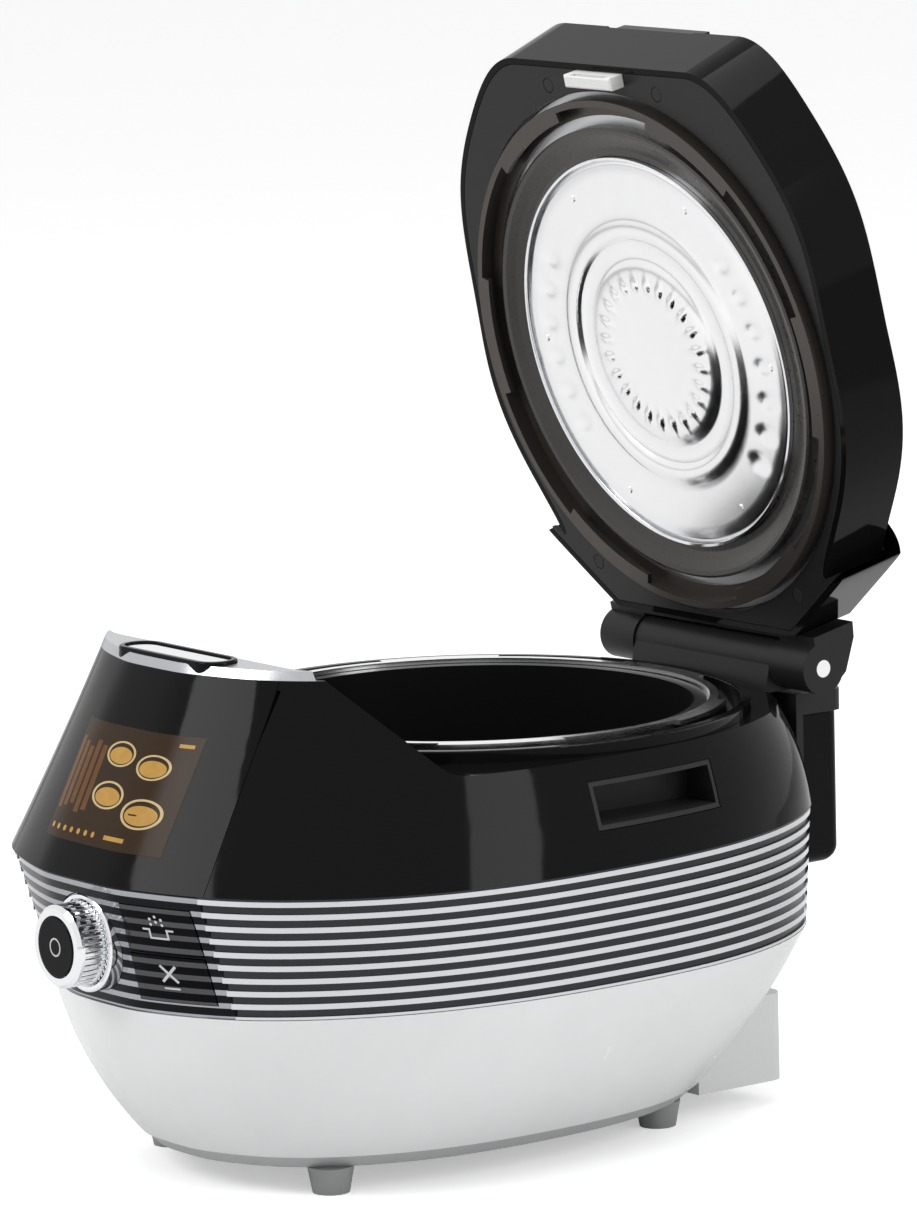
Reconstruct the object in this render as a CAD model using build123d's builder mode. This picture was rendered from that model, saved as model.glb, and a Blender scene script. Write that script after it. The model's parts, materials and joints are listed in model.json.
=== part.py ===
import os
from math import cos, radians, sin

from build123d import *

os.makedirs("parts", exist_ok=True)

# Lengths are in millimetres. The pot's axis stands at x = 0 and y = pot_y, and z = 0 is the worktop.
# The front of the cooker faces -Y. The lid is drawn open, as it rests.
pot_y = 27.0

# Heights of the seams of the casing, from the worktop
foot_h = 12.0
base_z = 18.0
waist_z = 45.0
band_low_z = 87.0
band_high_z = 144.0
rim_z = 190.0
cap_z = 236.0

# Plan of the casing at each height: half width, front reach, rear reach, and where it is widest
casing = {
    base_z: (97.0, 171.0, 102.0, -33.0),
    waist_z: (114.0, 190.0, 126.0, -30.0),
    band_low_z: (130.0, 206.0, 155.0, -20.0),
    band_high_z: (147.5, 218.0, 154.0, -50.0),
    rim_z: (131.0, 194.5, 140.0, -40.0),
    cap_z: (108.0, 171.0, 100.0, -60.0),
}
front_fullness = 2.25
rear_fullness = 2.4
shell_wall = 3.0
seam = 0.3
running_gap = 0.4

# Scoop in the sides that the closed lid fills
scoop_front_y = -143.0
scoop_low_y = -94.0
fascia_rear_y = -148.5
lid_gap = 1.0

# Pot and the parts round it
pot_r = 105.0
pot_wall = 2.2
pot_floor_z = 66.0
pot_rim_z = 194.4
pot_flange = 2.6
pot_flange_t = 1.4
pot_corner_r = 24.0
pot_gap = 1.4
collar_r = 109.0
collar_wall = 4.0
collar_top_z = 196.6
collar_lug_reach = 4.0
lug_t = 2.2
ledge_t = 2.2
deck_hole_r = 122.8
deck_ring_wall = 4.6
deck_top_z = 195.4
channel_floor_z = 184.5
bowl_wall = 1.8

# Bayonet lock between the lid and the collar
lug_count = 6
lug_angle = 28.0

# Lid, in its own plane: s runs to its front edge, n runs out of its underside
hinge_y = 146.5
hinge_z = 201.2
lid_open_angle = 77.85
lid_closed_z = 191.8
frame_n = -4.0
frame_t = 2.4
lid_side_n = -38.0
lid_crown_n = -50.0
lid_front_s = 138.0
lid_front_lean = 7.0
lid_rear_s = -130.5
lid_wall = 2.8
lid_hole_r = 125.3
floor_n = -9.3
floor_t = 3.0
lock_ring_r = 122.2
lock_ring_wall = 3.2
lock_lug_r = 114.4
gasket_r = 108.3
gasket_low_n = -2.9
plate_r = 92.2
plate_n = -6.5
plate_t = 0.8

# Hinge
pin_r = 4.0
pin_fit = 0.05
knuckle_r = 12.0
barrel_r = 11.0
arm_half = 75.0
barrel_half = 49.5
spring_half = 30.0

# Controls on the front
knob_z = 115.0
knob_r = 18.5
knob_len = 17.0
knob_cap_r = 13.5
knob_bezel_r = 22.0
spindle_r = 3.0
key_low_x = 28.0
key_high_x = 64.0
key_h = 21.0
key_gap = 1.4
key_travel = 1.0
switch_gap = 2.9
panel_half = 70.0
window_low_half = 74.0
window_high_half = 68.0
screen_half = 40.0
screen_low_z = 154.0
screen_high_z = 214.0
button_len = 70.0
button_w = 15.0

# Feet and what stands on the base plate
foot_r = 10.5
foot_low_r = 8.3
foot_x = 61.5
foot_front_y = -129.0
foot_rear_y = 55.0
foot_screw_r = 2.0
plate_thick = 3.0
fan_x = 30.0
fan_y = -62.0
fan_r = 36.0
fan_h = 22.0
window_t = 2.4
screen_t = 4.0
grip_wall = 2.0
sensor_r = 14.0


def level(z):
    return Plane(origin=(0, pot_y, z), x_dir=(1, 0, 0), z_dir=(0, 0, 1))


def facing_front(y):
    return Plane(origin=(0, pot_y + y, 0), x_dir=(1, 0, 0), z_dir=(0, -1, 0))


def facing_side(x):
    return Plane(origin=(x, pot_y, 0), x_dir=(0, 1, 0), z_dir=(1, 0, 0))


# In the closed lid s points to -Y and n points down. The open lid is that plane turned about the hinge.
closed_lid = Plane(origin=(0, pot_y, lid_closed_z), x_dir=(1, 0, 0), z_dir=(0, 0, -1))
turn = radians(lid_open_angle)
back = -hinge_y
down = lid_closed_z - hinge_z
open_lid = Plane(
    origin=(
        0,
        pot_y + hinge_y + back * cos(turn) + down * sin(turn),
        hinge_z - back * sin(turn) + down * cos(turn),
    ),
    x_dir=(1, 0, 0),
    z_dir=(0, -sin(turn), -cos(turn)),
)


def lid_at(n):
    return open_lid.offset(n)


def across_lid(x):
    # local x runs along s and local y runs along n
    return Plane(origin=open_lid.origin + Vector(x, 0, 0), x_dir=open_lid.y_dir, z_dir=(1, 0, 0))


def plan_at(z):
    heights = sorted(casing)
    for low, high in zip(heights, heights[1:]):
        if z <= high:
            share = (z - low) / (high - low)
            return [a + share * (b - a) for a, b in zip(casing[low], casing[high])]
    return list(casing[heights[-1]])


def surface_y(x, z, inset=0.0):
    half, front, rear, widest = plan_at(z)
    share = 1 - (abs(x) / (half - inset)) ** front_fullness
    return widest - (front - inset + widest) * share ** (1 / front_fullness)


def outline(z, inset=0.0, drop=0.0):
    half, front, rear, widest = plan_at(z)
    half -= inset
    fore = front - inset + widest
    aft = rear - inset - widest

    def quarter(side, reach, fullness):
        steps = [radians(a) for a in (0, 12, 28, 45, 62, 78, 90)]
        return [
            (side * half * cos(a) ** (2 / fullness), widest + reach * sin(a) ** (2 / fullness))
            for a in steps
        ]

    with BuildSketch(level(z - drop), mode=Mode.PRIVATE) as plan:
        with BuildLine():
            for side in (1, -1):
                Spline(*quarter(side, -fore, front_fullness), tangents=[(0, -1), (-side, 0)])
                Spline(*quarter(side, aft, rear_fullness), tangents=[(0, 1), (-side, 0)])
        make_face()
    return plan.sketch.faces()[0]


def casing_loft(heights, inset=0.0, mode=Mode.ADD):
    loft([outline(z, inset) for z in heights], mode=mode)


def lid_outline(plane, grow=0.0, lean=0.0):
    half = 130.0 + grow
    front = lid_front_s + grow + lean
    rear = lid_rear_s - grow
    side = [
        (0.49 * half, front),
        (0.61 * half, front - 0.035 * lid_front_s),
        (0.785 * half, 0.8 * front),
        (0.96 * half, 0.5 * front),
        (half, 0.1 * front),
        (0.908 * half, 0.463 * rear),
        (0.754 * half, 0.773 * rear),
        (0.5 * half, rear),
    ]
    with BuildSketch(plane, mode=Mode.PRIVATE) as plan:
        with BuildLine():
            for way in (1, -1):
                Spline(*[(way * x, s) for x, s in side], tangents=[(way, -0.05), (-way, -0.75)])
            Line((-0.49 * half, front), (0.49 * half, front))
            Line((-0.5 * half, rear), (0.5 * half, rear))
        make_face()
    return plan.sketch.faces()[0]


def ring(plane, outer, inner, height, mode=Mode.ADD):
    with BuildSketch(plane, mode=Mode.PRIVATE) as flat:
        Circle(outer)
        Circle(inner, mode=Mode.SUBTRACT)
    extrude(flat.sketch, amount=height, mode=mode)


def box_on(plane, low, high, height, mode=Mode.ADD):
    with BuildSketch(plane, mode=Mode.PRIVATE) as flat:
        with Locations(((low[0] + high[0]) / 2, (low[1] + high[1]) / 2)):
            Rectangle(high[0] - low[0], high[1] - low[1])
    extrude(flat.sketch, amount=height, mode=mode)


def disc(plane, radius, height, places=((0, 0),), mode=Mode.ADD):
    with BuildSketch(plane, mode=Mode.PRIVATE) as flat:
        with Locations(*places):
            Circle(radius)
    extrude(flat.sketch, amount=height, mode=mode)


def oval(plane, length, width, height, mode=Mode.ADD):
    with BuildSketch(plane, mode=Mode.PRIVATE) as flat:
        with Locations((0, button_y)):
            SlotOverall(length, width)
    extrude(flat.sketch, amount=height, mode=mode)


def lugs(plane, outer, inner, height, first):
    # each lug is a ring's stretch inside a wedge of the lug's angle
    half = radians(lug_angle / 2)
    with BuildSketch(plane, mode=Mode.PRIVATE) as flat:
        with PolarLocations(0, lug_count, start_angle=first):
            Polygon(
                (0, 0),
                (2 * outer * cos(half), -2 * outer * sin(half)),
                (2 * outer * cos(half), 2 * outer * sin(half)),
                align=None,
            )
        Circle(outer, mode=Mode.INTERSECT)
        Circle(inner, mode=Mode.SUBTRACT)
    extrude(flat.sketch, amount=height)


carrier_posts = [(-45, 66), (45, 66), (-60, -53), (79, -8)]
board_posts = [(x, y) for x in (-70, -20) for y in (-70, 20)]
foot_places = [(x, y) for x in (-foot_x, foot_x) for y in (foot_front_y, foot_rear_y)]

# Lower casing

tray_slope = 7.0
tray_lip = 4.0
support_front_y = 76.0
with BuildPart() as base_plate:
    loft([outline(base_z, tray_slope, base_z - foot_h), outline(base_z, 0.6)])
    extrude(outline(base_z, shell_wall + 2), amount=tray_lip)
    loft(
        [outline(base_z, tray_slope + 2, base_z - foot_h - plate_thick), outline(base_z, shell_wall + 4)],
        mode=Mode.SUBTRACT,
    )
    extrude(outline(base_z, shell_wall + 4), amount=tray_lip, mode=Mode.SUBTRACT)
    box_on(level(foot_h - 1), (-67, support_front_y - seam), (67, 160), 40, mode=Mode.SUBTRACT)
    disc(level(foot_h), foot_screw_r + 0.1, plate_thick, foot_places, mode=Mode.SUBTRACT)
    for i in range(-3, 4):
        box_on(level(foot_h), (fan_x - 26 + i * i, fan_y + 9 * i - 2), (fan_x + 26 - i * i, fan_y + 9 * i + 2),
               plate_thick, mode=Mode.SUBTRACT)
    disc(level(foot_h + plate_thick), 4, 9, board_posts)
base_plate.part.label = "base_plate"
export_step(base_plate.part, "parts/base_plate.step")

with BuildPart() as feet:
    for x, y in foot_places:
        with BuildSketch(level(0)):
            with Locations((x, y)):
                Circle(foot_low_r)
        with BuildSketch(level(foot_h)):
            with Locations((x, y)):
                Circle(foot_r)
        loft()
    disc(level(0), 4.0, 5.0, foot_places, mode=Mode.SUBTRACT)
    disc(level(0), foot_screw_r + 0.1, foot_h, foot_places, mode=Mode.SUBTRACT)
feet.part.label = "feet"
export_step(feet.part, "parts/feet.step")

with BuildPart() as foot_screws:
    disc(level(2.5), 3.6, 2.5, foot_places)
    disc(level(5), foot_screw_r, foot_h + plate_thick - 5, foot_places)
foot_screws.part.label = "foot_screws"
export_step(foot_screws.part, "parts/foot_screws.step")

with BuildPart() as lower_shell:
    casing_loft([base_z, waist_z, band_low_z - seam])
    casing_loft([base_z, waist_z, band_low_z - seam], shell_wall, mode=Mode.SUBTRACT)
    box_on(facing_front(70), (-66, base_z - 1), (66, 52), -80, mode=Mode.SUBTRACT)
lower_shell.part.label = "lower_shell"
export_step(lower_shell.part, "parts/lower_shell.step")

support_low = (-65.7, foot_h - 1)
support_high = (65.7, 51.7)
support_rear_y = 128.0
with BuildPart() as rear_support:
    box_on(facing_front(support_rear_y), support_low, support_high, support_rear_y - support_front_y)
    fillet(rear_support.edges().filter_by(Axis.Z).group_by(Axis.Y)[-1], 8)
    box_on(facing_front(support_rear_y - shell_wall), (-62, foot_h + 2), (62, 48), 60, mode=Mode.SUBTRACT)
    box_on(facing_front(support_rear_y), (-44, 20), (-14, 44), 5, mode=Mode.SUBTRACT)
    with BuildSketch(facing_front(support_rear_y)):
        with GridLocations(7, 0, 8, 1):
            with Locations((30, 34)):
                SlotOverall(26, 3, rotation=90)
    extrude(amount=5, mode=Mode.SUBTRACT)
rear_support.part.label = "rear_support"
export_step(rear_support.part, "parts/rear_support.step")

with BuildPart() as power_inlet:
    box_on(facing_front(support_rear_y), (-43.8, 20.2), (-14.2, 43.8), 22)
    fillet(power_inlet.edges().filter_by(Axis.Y), 3)
    box_on(facing_front(support_rear_y), (-40, 23), (-18, 41), 16, mode=Mode.SUBTRACT)
    box_on(facing_front(support_rear_y - 16), (-30, 35), (-28, 37.5), -11)
    box_on(facing_front(support_rear_y - 16), (-36, 28), (-34, 30.5), -11)
    box_on(facing_front(support_rear_y - 16), (-24, 28), (-22, 30.5), -11)
power_inlet.part.label = "power_inlet"
export_step(power_inlet.part, "parts/power_inlet.step")

# Ribbed band: dark grooves stepped back between bright ridges
ridge_count = 9
ridge_h = 2.4
groove_depth = 1.4
band_edge = 1.2
ridge_pitch = (band_high_z - band_low_z - 2 * band_edge) / ridge_count
rear_flat_y = 147.0
holder_half = 57.0
with BuildPart() as trim_band:
    extrude(outline(band_low_z, 0.4), amount=band_edge)
    for i in range(ridge_count):
        foot = band_low_z + band_edge + i * ridge_pitch
        extrude(outline(foot, 0.2 + groove_depth), amount=ridge_pitch - ridge_h)
        extrude(outline(foot + ridge_pitch - ridge_h, 0.2), amount=ridge_h)
    extrude(outline(band_high_z - band_edge, 0.4), amount=band_edge)
    casing_loft([band_low_z, band_high_z], shell_wall + groove_depth, mode=Mode.SUBTRACT)
    box_on(facing_front(-120), (-panel_half, band_low_z), (panel_half, band_high_z), 120, mode=Mode.SUBTRACT)
    box_on(
        facing_front(rear_flat_y - 2.3), (-holder_half, 100), (holder_half, band_high_z), -30, mode=Mode.SUBTRACT
    )
trim_band.part.label = "trim_band"
export_step(trim_band.part, "parts/trim_band.step")

# Front control panel in the band, with the two keys that follow its curve
panel_inset = 1.0
panel_wall = 3.0
key_places = [
    (band_low_z + 6.0, band_low_z + 6.0 + key_h),
    (band_low_z + 6.0 + key_h + key_gap, band_low_z + 6.0 + 2 * key_h + key_gap),
]
with BuildPart() as control_panel:
    casing_loft([band_low_z, band_high_z - seam], panel_inset)
    casing_loft([band_low_z, band_high_z - seam], panel_inset + panel_wall, mode=Mode.SUBTRACT)
    box_on(
        facing_front(-120), (seam - panel_half, band_low_z), (panel_half - seam, band_high_z), 120,
        mode=Mode.INTERSECT,
    )
    disc(facing_front(-150), knob_bezel_r + 0.2, 100, [(0, knob_z)], mode=Mode.SUBTRACT)
    for low, high in key_places:
        box_on(
            facing_front(-120),
            (key_low_x - running_gap, low - running_gap),
            (key_high_x + running_gap, high + running_gap),
            120,
            mode=Mode.SUBTRACT,
        )
control_panel.part.label = "control_panel"
export_step(control_panel.part, "parts/control_panel.step")

for name, (low, high) in zip(("cancel_key", "start_key"), key_places):
    with BuildPart() as key:
        casing_loft([band_low_z, band_high_z - seam], panel_inset - 0.4)
        casing_loft([band_low_z, band_high_z - seam], panel_inset + panel_wall - 0.4, mode=Mode.SUBTRACT)
        box_on(facing_front(-120), (key_low_x, low), (key_high_x, high), 120, mode=Mode.INTERSECT)
    key.part.label = name
    export_step(key.part, f"parts/{name}.step")

# Board that the keys press, behind the panel
front_y = surface_y(0, knob_z)
key_board_y = surface_y(key_high_x, knob_z) + panel_inset + panel_wall + key_travel + 8
with BuildPart() as control_board:
    box_on(facing_front(key_board_y), (-58, band_low_z + 8), (58, band_high_z - 6), -1.6)
    box_on(facing_front(key_board_y), (-24, 100), (-12, 106), -5)
    disc(facing_front(key_board_y), spindle_r + 0.6, -3, [(0, knob_z)], mode=Mode.SUBTRACT)
control_board.part.label = "control_board"
export_step(control_board.part, "parts/control_board.step")

with BuildPart() as key_switches:
    for low, high in key_places:
        middle = ((key_low_x + key_high_x) / 2, (low + high) / 2)
        reach = surface_y(middle[0], middle[1]) + panel_inset + panel_wall + key_travel - key_board_y
        disc(facing_front(key_board_y), 3, -reach - switch_gap, [middle])
key_switches.part.label = "key_switches"
export_step(key_switches.part, "parts/key_switches.step")

# Knob: bezel in the panel, turning ring, push button in its face, and the encoder behind
bezel_face_y = front_y - 3
with BuildPart() as knob_bezel:
    ring(facing_front(front_y + 6), knob_bezel_r, knob_r + running_gap, 9)
    ring(facing_front(front_y + 6), knob_bezel_r, spindle_r + 0.6, 2)
    chamfer(knob_bezel.edges().group_by(Axis.Y)[0], 0.8)
knob_bezel = knob_bezel.part.moved(Location((0, 0, knob_z)))
knob_bezel.label = "knob_bezel"
export_step(knob_bezel, "parts/knob_bezel.step")

knob_face_y = front_y - knob_len
flute_count = 40
with BuildPart() as knob_ring:
    disc(facing_front(front_y + 3.5), knob_r, knob_len + 3.5, [(0, knob_z)])
    chamfer(knob_ring.edges().group_by(Axis.Y)[0], 1.6)
    with BuildSketch(facing_front(front_y - 2)):
        with Locations((0, knob_z)):
            with PolarLocations(knob_r + 0.35, flute_count):
                Circle(0.95)
    extrude(amount=knob_len - 5, mode=Mode.SUBTRACT)
    disc(facing_front(knob_face_y), knob_cap_r + running_gap, -9, [(0, knob_z)], mode=Mode.SUBTRACT)
    disc(facing_front(front_y + 4), spindle_r + pin_fit, 20, [(0, knob_z)], mode=Mode.SUBTRACT)
knob_ring.part.label = "knob_ring"
export_step(knob_ring.part, "parts/knob_ring.step")

with BuildPart() as ok_button:
    disc(facing_front(knob_face_y + 6.5), knob_cap_r, 6.9, [(0, knob_z)])
    fillet(ok_button.edges().group_by(Axis.Y)[0], 0.8)
ok_button.part.label = "ok_button"
export_step(ok_button.part, "parts/ok_button.step")

with BuildPart() as encoder:
    disc(facing_front(key_board_y - 2), spindle_r, knob_face_y * -1 + key_board_y - 2 - 10.5, [(0, knob_z)])
    box_on(facing_front(key_board_y), (-7, knob_z - 7), (7, knob_z + 7), 5)
encoder.part.label = "encoder"
export_step(encoder.part, "parts/encoder.step")

# Upper casing: one black moulding with the deck, the scoop and the grip openings
grip_low = (-38.0, 160.0)
grip_high = (36.0, 181.0)
grip_inner_x = 112.0
grip_outer_x = 150.0
deck_t = 7.5
deck_hole = deck_hole_r + deck_ring_wall + seam


def scoop(low_z):
    with BuildSketch(facing_side(-200), mode=Mode.PRIVATE) as profile:
        with BuildLine():
            Spline(
                (scoop_front_y, cap_z + seam),
                (scoop_front_y + 16, cap_z - 19.5),
                (scoop_front_y + 33, low_z + 8),
                (scoop_low_y, low_z),
                tangents=[(0.75, -1), (1, 0)],
            )
            Polyline(
                (scoop_low_y, low_z),
                (220, low_z),
                (220, cap_z + 40),
                (scoop_front_y, cap_z + 40),
                (scoop_front_y, cap_z + seam),
            )
        make_face()
    extrude(profile.sketch, amount=400, mode=Mode.SUBTRACT)


def window_wedge(gap, mode):
    low, high = band_high_z, cap_z
    with BuildSketch(facing_front(-150), mode=Mode.PRIVATE) as front:
        Polygon(
            (gap - window_low_half, low - 1),
            (window_low_half - gap, low - 1),
            (window_high_half - gap, high + 1),
            (gap - window_high_half, high + 1),
            align=None,
        )
    extrude(front.sketch, amount=100, mode=mode)


def lid_recess(grow=0.0):
    # the closed lid's room in the fascia, with a gap all round
    floor = closed_lid.offset(lid_closed_z - rim_z - 5)
    extrude(lid_outline(floor, lid_gap + grow, lid_front_lean), amount=-60, mode=Mode.SUBTRACT)


cap_t = 4.0
latch_half = 12.0
latch_low_z = 189.0
latch_t = 2.4
catch_half = 17.0
catch_low_s = 128.6
catch_high_s = 134.6
catch_n = 3.7
button_y = -159.5
with BuildPart() as upper_shell:
    casing_loft([band_high_z, rim_z, cap_z])
    casing_loft([band_high_z, rim_z - deck_t], shell_wall, mode=Mode.SUBTRACT)
    scoop(rim_z)
    lid_recess()
    disc(level(rim_z - 20), deck_hole, 60, mode=Mode.SUBTRACT)
    box_on(level(cap_z - cap_t), (-200, -250), (200, 0), 20, mode=Mode.SUBTRACT)
    window_wedge(0, Mode.SUBTRACT)
    box_on(level(band_high_z), (-70, -170), (70, fascia_rear_y - 2.5), cap_z - band_high_z - 8, mode=Mode.SUBTRACT)
    for x in (-grip_outer_x, grip_inner_x):
        box_on(facing_side(x), grip_low, grip_high, grip_outer_x - grip_inner_x, mode=Mode.SUBTRACT)
    box_on(
        facing_front(-126), (-latch_half - 0.4, latch_low_z - 0.4), (latch_half + 0.4, latch_low_z + latch_t + 0.4),
        60, mode=Mode.SUBTRACT,
    )
    box_on(
        level(lid_closed_z - catch_n - 1), (-catch_half - 1, -catch_high_s - 1.5), (catch_half + 1, -120),
        20, mode=Mode.SUBTRACT,
    )
    oval(level(cap_z - 12), button_len + 1, button_w + 1, 20, Mode.SUBTRACT)
    box_on(level(rim_z - 1.6), (-arm_half - 1, 130), (arm_half + 1, 170), 20, mode=Mode.SUBTRACT)
    box_on(
        facing_front(rear_flat_y - 2.3), (-holder_half, band_high_z), (holder_half, rim_z), -30, mode=Mode.SUBTRACT
    )
upper_shell.part.label = "upper_shell"
export_step(upper_shell.part, "parts/upper_shell.step")

with BuildPart() as front_window:
    casing_loft([band_high_z, rim_z, cap_z])
    casing_loft([band_high_z, rim_z, cap_z], window_t, mode=Mode.SUBTRACT)
    window_wedge(seam, Mode.INTERSECT)
    box_on(level(cap_z - cap_t), (-200, -250), (200, 0), 20, mode=Mode.SUBTRACT)
front_window.part.label = "front_window"
export_step(front_window.part, "parts/front_window.step")

with BuildPart() as screen_module:
    casing_loft([band_high_z, rim_z, cap_z], window_t)
    casing_loft([band_high_z, rim_z, cap_z], window_t + screen_t, mode=Mode.SUBTRACT)
    box_on(
        facing_front(-150), (-screen_half, screen_low_z), (screen_half, screen_high_z), 80, mode=Mode.INTERSECT
    )
screen_module.part.label = "screen_module"
export_step(screen_module.part, "parts/screen_module.step")

# Silver cap on the fascia, with the release button's bezel
bezel_w = 3.0
with BuildPart() as front_cap:
    loft([outline(cap_z - cap_t), outline(cap_z)])
    scoop(rim_z)
    lid_recess()
    box_on(level(cap_z - cap_t), (-200, scoop_front_y), (200, 200), cap_t, mode=Mode.SUBTRACT)
    oval(level(cap_z - cap_t), button_len + 2 * bezel_w, button_w + 2 * bezel_w, cap_t, Mode.SUBTRACT)
front_cap.part.label = "front_cap"
export_step(front_cap.part, "parts/front_cap.step")

with BuildPart() as button_bezel:
    oval(level(cap_z - cap_t), button_len + 2 * bezel_w - 0.2, button_w + 2 * bezel_w - 0.2, cap_t + 1.6)
    fillet(button_bezel.edges().group_by(Axis.Z)[-1], 1.0)
    oval(level(cap_z - cap_t), button_len + 0.8, button_w + 0.8, cap_t + 2, Mode.SUBTRACT)
button_bezel.part.label = "button_bezel"
export_step(button_bezel.part, "parts/button_bezel.step")

button_low_z = cap_z - 10.0
with BuildPart() as release_button:
    oval(level(button_low_z), button_len, button_w, cap_z + 0.8 - button_low_z)
    fillet(release_button.edges().group_by(Axis.Z)[-1], 0.7)
    box_on(level(latch_low_z + latch_t + 7), (-4, -157), (4, -153), button_low_z - latch_low_z - latch_t - 7)
release_button.part.label = "release_button"
export_step(release_button.part, "parts/release_button.step")

# Latch slide: its tip holds the catch on the closed lid, and the button draws it forward
latch_bite = 1.6
with BuildPart() as latch_slide:
    box_on(
        level(latch_low_z), (-latch_half, -164), (latch_half, latch_bite - catch_high_s), latch_t
    )
    box_on(level(latch_low_z + latch_t), (-4, -158), (4, -152), 3)
latch_slide.part.label = "latch_slide"
export_step(latch_slide.part, "parts/latch_slide.step")

with BuildPart() as side_grips:
    for side in (-1, 1):
        low_x, high_x = sorted((side * (grip_inner_x + seam), side * grip_outer_x))
        box_on(
            facing_side(low_x), (grip_low[0] + seam, grip_low[1] + seam), (grip_high[0] - seam, grip_high[1] - seam),
            high_x - low_x,
        )
        low_x, high_x = sorted((side * (grip_inner_x + seam + grip_wall), side * (grip_outer_x + 1)))
        box_on(
            facing_side(low_x), (grip_low[0] + seam + grip_wall, grip_low[1] + seam + grip_wall),
            (grip_high[0] - seam - grip_wall, grip_high[1] - seam - grip_wall),
            high_x - low_x, mode=Mode.SUBTRACT,
        )
    casing_loft([band_high_z, rim_z, cap_z], 0.3, mode=Mode.INTERSECT)
side_grips.part.label = "side_grips"
export_step(side_grips.part, "parts/side_grips.step")

# Rings round the pot, from the deck inward
deck_ring_r = deck_hole_r + deck_ring_wall
floor_z = channel_floor_z - 2.5
with BuildPart() as deck_ring:
    ring(level(floor_z), deck_ring_r, collar_r, 2.5)
    ring(level(channel_floor_z), deck_ring_r, deck_hole_r, deck_top_z - channel_floor_z)
    fillet(deck_ring.edges().group_by(Axis.Z)[-1], 0.8)
    box_on(
        level(lid_closed_z - catch_n - 1), (-catch_half - 1, -catch_high_s - 1.5), (catch_half + 1, -120),
        20, mode=Mode.SUBTRACT,
    )
deck_ring.part.label = "deck_ring"
export_step(deck_ring.part, "parts/deck_ring.step")

ledge_z = pot_rim_z - pot_flange_t - seam - ledge_t
with BuildPart() as lock_collar:
    ring(level(channel_floor_z), collar_r + collar_wall, collar_r, collar_top_z - channel_floor_z)
    ring(level(ledge_z), collar_r, pot_r + 0.6, ledge_t)
    lugs(level(collar_top_z - lug_t), collar_r + collar_wall + collar_lug_reach, collar_r + 1, lug_t, -90)
lock_collar.part.label = "lock_collar"
export_step(lock_collar.part, "parts/lock_collar.step")

# Pot, and the bowl that holds it over the coil
pot_body_r = pot_r - 1.0
pot_bottom_z = pot_floor_z - pot_wall
with BuildPart() as inner_pot:
    with BuildSketch(facing_side(0)):
        with BuildLine():
            Line((0, pot_bottom_z), (pot_body_r - pot_corner_r, pot_bottom_z))
            JernArc((pot_body_r - pot_corner_r, pot_bottom_z), (1, 0), pot_corner_r, 90)
            Polyline(
                (pot_body_r, pot_bottom_z + pot_corner_r),
                (pot_body_r, pot_rim_z - pot_flange_t),
                (pot_r + pot_flange, pot_rim_z - pot_flange_t),
                (pot_r + pot_flange, pot_rim_z),
                (pot_body_r - pot_wall, pot_rim_z),
                (pot_body_r - pot_wall, pot_bottom_z + pot_corner_r),
            )
            inside = pot_corner_r - pot_wall
            JernArc((pot_body_r - pot_wall, pot_bottom_z + pot_corner_r), (0, -1), inside, -90)
            Polyline((pot_body_r - pot_corner_r, pot_floor_z), (0, pot_floor_z), (0, pot_bottom_z))
        make_face()
    revolve(axis=Axis((0, pot_y, 0), (0, 0, 1)))
inner_pot.part.label = "inner_pot"
export_step(inner_pot.part, "parts/inner_pot.step")

bowl_r = pot_body_r + pot_gap
bowl_bottom_z = pot_bottom_z - pot_gap - bowl_wall
bowl_corner_r = pot_corner_r + pot_gap + bowl_wall
with BuildPart() as heater_bowl:
    disc(level(bowl_bottom_z), bowl_r + bowl_wall, floor_z - bowl_bottom_z)
    fillet(heater_bowl.edges().group_by(Axis.Z)[0], bowl_corner_r)
    offset(amount=-bowl_wall, openings=heater_bowl.faces().sort_by(Axis.Z)[-1])
    ring(level(floor_z - 2), bowl_r + bowl_wall + 4, bowl_r + bowl_wall - 0.5, 2)
    disc(level(bowl_bottom_z - 1), sensor_r + 0.6, bowl_wall + 2, mode=Mode.SUBTRACT)
heater_bowl.part.label = "heater_bowl"
export_step(heater_bowl.part, "parts/heater_bowl.step")

with BuildPart() as pot_sensor:
    disc(level(bowl_bottom_z - 12), 6, 12 + bowl_wall - 2)
    disc(level(bowl_bottom_z + bowl_wall - 2), sensor_r, pot_gap + 2 - seam)
pot_sensor.part.label = "pot_sensor"
export_step(pot_sensor.part, "parts/pot_sensor.step")

# Induction coil in its carrier, with the ferrite bars under it
coil_t = 5.0
coil_top_z = bowl_bottom_z - seam
coil_in_r = 24.0
coil_out_r = 76.0
carrier_t = 2.5
with BuildPart() as induction_coil:
    ring(level(coil_top_z - coil_t), coil_out_r, coil_in_r, coil_t)
induction_coil.part.label = "induction_coil"
export_step(induction_coil.part, "parts/induction_coil.step")

carrier_z = coil_top_z - coil_t - carrier_t
with BuildPart() as coil_carrier:
    ring(level(carrier_z), coil_out_r + 8, coil_in_r - 8, carrier_t)
    ring(level(carrier_z + carrier_t), coil_out_r + 3, coil_out_r + seam, coil_t - 1)
    disc(level(foot_h + plate_thick), 5, carrier_z - foot_h - plate_thick, carrier_posts)
coil_carrier.part.label = "coil_carrier"
export_step(coil_carrier.part, "parts/coil_carrier.step")

ferrite_count = 8
with BuildPart() as ferrite_bars:
    with BuildSketch(level(carrier_z - 5)):
        with PolarLocations((coil_in_r + coil_out_r) / 2, ferrite_count, start_angle=22.5):
            Rectangle(coil_out_r - coil_in_r - 4, 14)
    extrude(amount=5)
ferrite_bars.part.label = "ferrite_bars"
export_step(ferrite_bars.part, "parts/ferrite_bars.step")

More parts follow.
